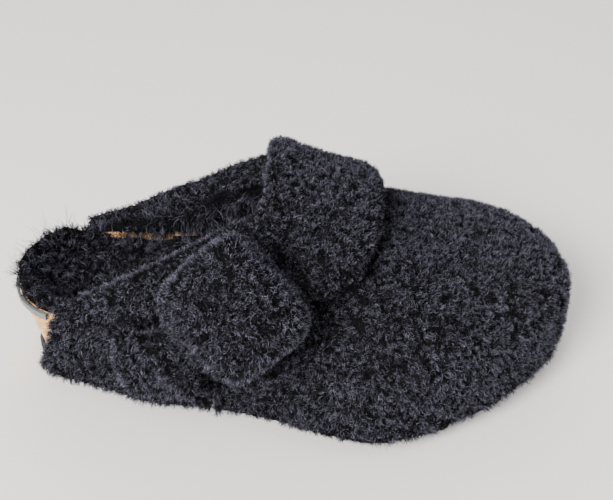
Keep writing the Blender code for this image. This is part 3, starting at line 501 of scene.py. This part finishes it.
def turn_aside(node, roots, ways, others, style):
    """Turns the strands that would run into another piece, and drops those blocked both ways."""
    keep = np.ones(len(roots), bool)
    stretch = np.ones(len(roots))
    reach = style["length"] * CLEAR_SHARE
    for i, (root, way) in enumerate(zip(roots.tolist(), ways.tolist())):
        start = Vector(root) + Vector(way) * ROOT_LIFT
        if not blocked(others, start, Vector(way), reach):
            continue
        aside = raised(node, root, way)
        ways[i] = aside
        stretch[i] = style["edge"]
        keep[i] = not blocked(others, start, aside, reach)
    return roots[keep], ways[keep], stretch[keep]


def lock_numbers(roots, locks):
    """The lock of each strand: the nearest of the first few roots, which are the locks' own."""
    tree = kdtree.KDTree(locks)
    for i in range(locks):
        tree.insert(roots[i], i)
    tree.balance()
    return np.array([tree.find(root)[1] for root in roots.tolist()])


def grow(random, node, roots, ways, stretch, locks, style):
    """Each strand's ribbon as two edges, ring by ring, and its tone."""
    count = len(roots)
    lock = lock_numbers(roots, locks)
    lock_root, lock_way = roots[:locks][lock], ways[:locks][lock]

    def per_lock(values):
        return values[lock]

    tilt = per_lock(random.normal(size=(locks, 3))) * style["tilt"]
    axis = ways * 0.5 + lock_way * 0.5 + tilt + random.normal(size=(count, 3)) * style["stray"]
    axis = unit(axis + np.array(style["flow"]))
    sideways = unit(np.cross(axis, random.normal(size=(count, 3))))
    helper = per_lock(random.normal(size=(locks, 3)))
    first = unit(helper - axis * (helper * axis).sum(axis=1)[:, None])
    second = np.cross(axis, first)

    hollow = np.array([pit_depth(root) for root in roots.tolist()])
    shade = crevice(roots, node)
    length = style["length"] * varied(per_lock(random.random(locks)), least=0.8, span=0.4)
    length *= varied(random.random(count), least=0.82, span=0.36)
    length *= (1 - style["pits"] * hollow) * ((1 - CREVICE_SHORT * shade) * stretch)
    turns = style["turns"] * varied(per_lock(random.random(locks)), least=0.7, span=0.6)
    turns *= np.where(per_lock(random.random(locks)) > 0.5, 1.0, -1.0)
    phase = random.normal(size=count) * PHASE
    coil = style["coil"] * varied(random.random(count), least=0.6, span=0.8)
    width = style["width"] * varied(random.random(count), least=0.7, span=0.6)

    steps = style["steps"]
    rails = np.empty((count, steps + 1, 2, 3))
    for k in range(steps + 1):
        s = k / steps
        pull = style["clump"] * s**GATHER_CURVE
        base = roots * (1 - pull) + (lock_root + (roots - lock_root) * GATHER) * pull
        angle = phase + 2 * math.pi * turns * s
        swing = coil * s**COIL_CURVE
        line = base + axis * (length * s)[:, None]
        line += first * (swing * (np.cos(angle) - np.cos(phase)))[:, None]
        line += second * (swing * (np.sin(angle) - np.sin(phase)))[:, None]
        line[:, 2] -= style["droop"] * s * s
        half = (width * (1 - TAPER * s**2) / 2)[:, None] * sideways
        rails[:, k, 0] = line - half
        rails[:, k, 1] = line + half
    rails[:, :, :, 2] = np.maximum(rails[:, :, :, 2], FLOOR_LIFT)

    tone = per_lock(random.normal(size=locks)) * LOCK_TONE + random.normal(size=count)
    # painted shade: strands darker in the hollows between tufts and beside a piece over or under
    # this one
    tone -= PIT_PAINTED_SHADE * hollow + CREVICE_PAINTED_SHADE * shade
    return rails, tone


def add_curls(node, pelt, shares, others, body, materials, style, seed):
    """Grows one kind of pile on a pelt, in as many pieces as the limit on faces needs."""
    random = np.random.default_rng(seed)
    roots, ways, area = scatter(random, pelt.data, shares, style["density"])
    scattered = len(roots)
    roots, ways, stretch = turn_aside(node, roots, ways, others, style)
    locks = max(4, int(area * len(roots) / scattered / style["lock"] ** 2))
    rails, tone = grow(random, node, roots, ways, stretch, locks, style)
    parts = math.ceil(len(roots) / (MOST_FACES // (2 * style["steps"])))
    for part in range(parts):
        picked = np.arange(part, len(roots), parts)
        name = f"{node}_{style['word']}_{part + 1}"
        made = ribbon_mesh(name, rails[picked], tone[picked], materials)
        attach(made, body)


SHADED_ROOT_LEVEL, TIP_LEVEL = -0.4, 3.2  # places in the list of tones, from dark to light; the darker roots are painted shade inside the pile


def ribbon_mesh(name, rails, tone, materials):
    """Strands as strips of quads, each strip darker at its root than at its tip, as painted shade
    inside the pile.
    """
    count, rings = rails.shape[:2]
    steps = rings - 1
    mesh = bpy.data.meshes.new(name)
    mesh.vertices.add(count * rings * 2)
    mesh.vertices.foreach_set("co", rails.astype(np.float32).ravel())
    start = (np.arange(count) * rings * 2)[:, None] + np.arange(steps) * 2
    quads = np.stack([start, start + 1, start + 3, start + 2], axis=2).reshape(-1, 4)
    mesh.loops.add(quads.size)
    mesh.loops.foreach_set("vertex_index", quads.astype(np.int32).ravel())
    mesh.polygons.add(len(quads))
    mesh.polygons.foreach_set("loop_start", (np.arange(len(quads)) * 4).astype(np.int32))
    along = np.arange(steps)[None, :] / max(1, steps - 1)
    # painted shade: each strand darker towards its root
    levels = SHADED_ROOT_LEVEL + tone[:, None] + (TIP_LEVEL - SHADED_ROOT_LEVEL) * along
    levels = np.clip(np.round(levels), 0, len(materials) - 1).astype(np.int32)
    mesh.polygons.foreach_set("material_index", levels.ravel())
    mesh.polygons.foreach_set("use_smooth", np.ones(len(quads), bool))
    for material in materials:
        mesh.materials.append(material)
    mesh.update(calc_edges=True)
    made = bpy.data.objects.new(name, mesh)
    bpy.context.scene.collection.objects.link(made)
    return made


def fleece_tones(name, levels):
    """One material for each tone of the strands, slightly blue as black wool is."""
    tones = []
    for i, value in enumerate(levels):
        colour = (value, value * 0.97, value * 1.32)
        tones.append(new_material(f"{name}_{i + 1}", colour, 0.85, sheen=0.04, specular=0.08))
    return tones


PLUSH = {  # clipped curly pile
    "word": "curls",
    "density": 5.6,  # strands on a square millimetre
    "length": 2.9 * MM,
    "width": 0.24 * MM,
    "lock": 1.25 * MM,  # the size of a lock of strands
    "clump": 0.4,  # how far the tips of a lock draw together
    "tilt": 0.45,  # how far a lock leans at random
    "stray": 0.28,  # how far each strand leaves its lock's way
    "turns": 0.85,  # turns of curl along a strand
    "coil": 0.55 * MM,  # the curl's radius
    "droop": 0.1 * MM,
    "steps": 4,  # faces along a strand
    "flow": (0.0, 0.0, 0.0),  # a common lean
    "pits": 0.85,  # how much shorter the pile is in its hollows
    "edge": 1.0,  # how much longer it is where it fills a seam
}
SHAGGY = {  # unclipped pile of the inside
    **PLUSH,
    "density": 3.0,
    "length": 4.2 * MM,
    "width": 0.25 * MM,
    "lock": 2.2 * MM,
    "clump": 0.6,
    "tilt": 0.5,
    "turns": 0.7,
    "coil": 0.8 * MM,
    "droop": 0.8 * MM,
    "flow": (-0.1, 0.0, 0.0),
    "pits": 0.4,
    "edge": 1.8,
}
HANGING = {  # the same pile on the inside walls, where it hangs down over the footbed's edge
    **SHAGGY,
    "length": 5.5 * MM,
    "flow": (0.0, 0.0, -1.0),
    "droop": 1.0 * MM,
}
WISPS = {  # a few long loose hairs round the back of the heel
    **SHAGGY,
    "word": "wisps",
    "density": 0.35,
    "length": 10.0 * MM,
    "width": 0.13 * MM,
    "lock": 5.0 * MM,
    "clump": 0.3,
    "stray": 0.35,
    "turns": 0.35,
    "coil": 1.2 * MM,
    "droop": -1.5 * MM,
    "steps": 6,
    "flow": (-0.5, 0.0, 0.1),
}


FLEECES = (  # node, body, slot, voxel and skin depth in millimetres, pile; each has its own seed
    ("vamp_shell", "shoe", "shearling_outer", 1.8, 2.4, PLUSH),
    ("lateral_quarter", "shoe", "shearling_outer", 1.6, 2.4, PLUSH),
    ("medial_quarter", "shoe", "shearling_outer", 1.6, 2.4, PLUSH),
    ("instep_strap", "shoe", "shearling_outer", 1.3, 2.2, PLUSH),
    ("buckle_cover", "buckle", "shearling_outer", 1.2, 2.4, PLUSH),
    ("footbed_lining", "shoe", "shearling_lining", 1.8, 3.0, SHAGGY),
    ("vamp_lining", "shoe", "shearling_lining", 1.8, 2.0, HANGING),
    ("lateral_lining", "shoe", "shearling_lining", 1.4, 2.0, HANGING),
    ("medial_lining", "shoe", "shearling_lining", 1.4, 2.0, HANGING),
)
HEEL_BACK = cad_box[0][0] + 22 * MM  # the wisps grow behind this
WISP_BAND = 3 * MM  # and within this of the footbed pelt's highest point
WISP_SEED = 40


def shares_at_heel(pelt, shares):
    """The shares of strands for the wisps: none away from the rim of the heel."""
    points = points_of(pelt.data)
    rim = points[:, 2].max() - WISP_BAND
    return np.where((points[:, 2] > rim) & (points[:, 0] < HEEL_BACK), shares, 0.0)


def build_fleece():
    # the skins' near-black colours are painted shade deep in the pile
    outer_skin = fleece_skin("shearling_outer_skin", (0.002, 0.002, 0.003), (0.008, 0.008, 0.010))
    inner_skin = fleece_skin("shearling_lining_skin", (0.002, 0.002, 0.003), (0.006, 0.006, 0.008))
    outer = fleece_tones("shearling_outer", (0.001, 0.004, 0.020, 0.066, 0.150))
    inner = fleece_tones("shearling_lining", (0.001, 0.005, 0.020, 0.056, 0.120))
    looks = {"shearling_outer": (outer_skin, outer), "shearling_lining": (inner_skin, inner)}
    for seed, (node, body, slot_name, voxel, sink, style) in enumerate(FLEECES):
        skin, tones = looks[slot_name]
        others = tree_of([name for name in nodes if name != node])
        pelt, shares = make_pelt(node, voxel * MM, sink * MM, body, skin, others)
        add_curls(node, pelt, shares, others, body, tones, style, seed)
        if node == "footbed_lining":
            back = shares_at_heel(pelt, shares)
            add_curls(node, pelt, back, others, body, tones, WISPS, WISP_SEED)


# ---- hard parts ----
def paint(names, material):
    """Gives the CAD nodes that stay in sight their material."""
    for name in names:
        mesh = nodes[name].data
        mesh.materials.clear()
        mesh.materials.append(material)


def paint_hard_parts():
    paint(["outsole"], foam_material())
    paint(["cork_footbed"], cork_material())
    paint(["lower_jute", "upper_jute"], jute_material())
    paint(
        ["heel_binding"],
        leather_material("binding_leather", (0.10, 0.12, 0.11), (0.19, 0.215, 0.20), 1500.0, 0.4),
    )
    paint(
        ["anchor_loop", "cover_backing"],
        leather_material("loop_leather", (0.016, 0.015, 0.014), (0.045, 0.042, 0.040), 1100.0, 0.5),
    )
    paint(
        ["buckle_frame", "buckle_prong", "anchor_rivet_upper", "anchor_rivet_lower"],
        metal_material(),
    )


# ---- stage ----
def add_floor():
    mesh = bpy.data.meshes.new("floor")
    side = 4.0
    corners = [(-side, -side, 0), (side, -side, 0), (side, side, 0), (-side, side, 0)]
    mesh.from_pydata(corners, [], [(0, 1, 2, 3)])
    floor = bpy.data.objects.new("floor", mesh)
    bpy.context.scene.collection.objects.link(floor)
    mesh.materials.append(new_material("floor", (0.92, 0.90, 0.878), 0.6, specular=0.2))


def add_area_light(name, place, aim, size, power, colour):
    light = bpy.data.lights.new(name, "AREA")
    light.shape = "DISK"
    light.size = size
    light.energy = power
    light.color = colour
    holder = bpy.data.objects.new(name, light)
    bpy.context.scene.collection.objects.link(holder)
    holder.location = place
    holder.rotation_euler = (Vector(aim) - Vector(place)).to_track_quat("-Z", "Y").to_euler()


def add_lights():
    middle = (0, 0, 0.03)
    add_area_light("key", (-0.85, -1.1, 1.0), middle, 0.8, 62, (1.0, 0.985, 0.96))
    add_area_light("fill", (1.3, -0.2, 1.4), middle, 1.2, 6, (0.97, 0.98, 1.0))
    add_area_light("back", (0.3, 1.3, 1.2), middle, 1.2, 10, (1.0, 0.99, 0.98))
    world = bpy.data.worlds.new("world")
    bpy.context.scene.world = world
    world.use_nodes = True
    world.node_tree.nodes["Background"].inputs["Color"].default_value = (0.95, 0.95, 0.95, 1)
    world.node_tree.nodes["Background"].inputs["Strength"].default_value = 0.7


add_camera()
paint_hard_parts()
build_fleece()
add_floor()
add_lights()
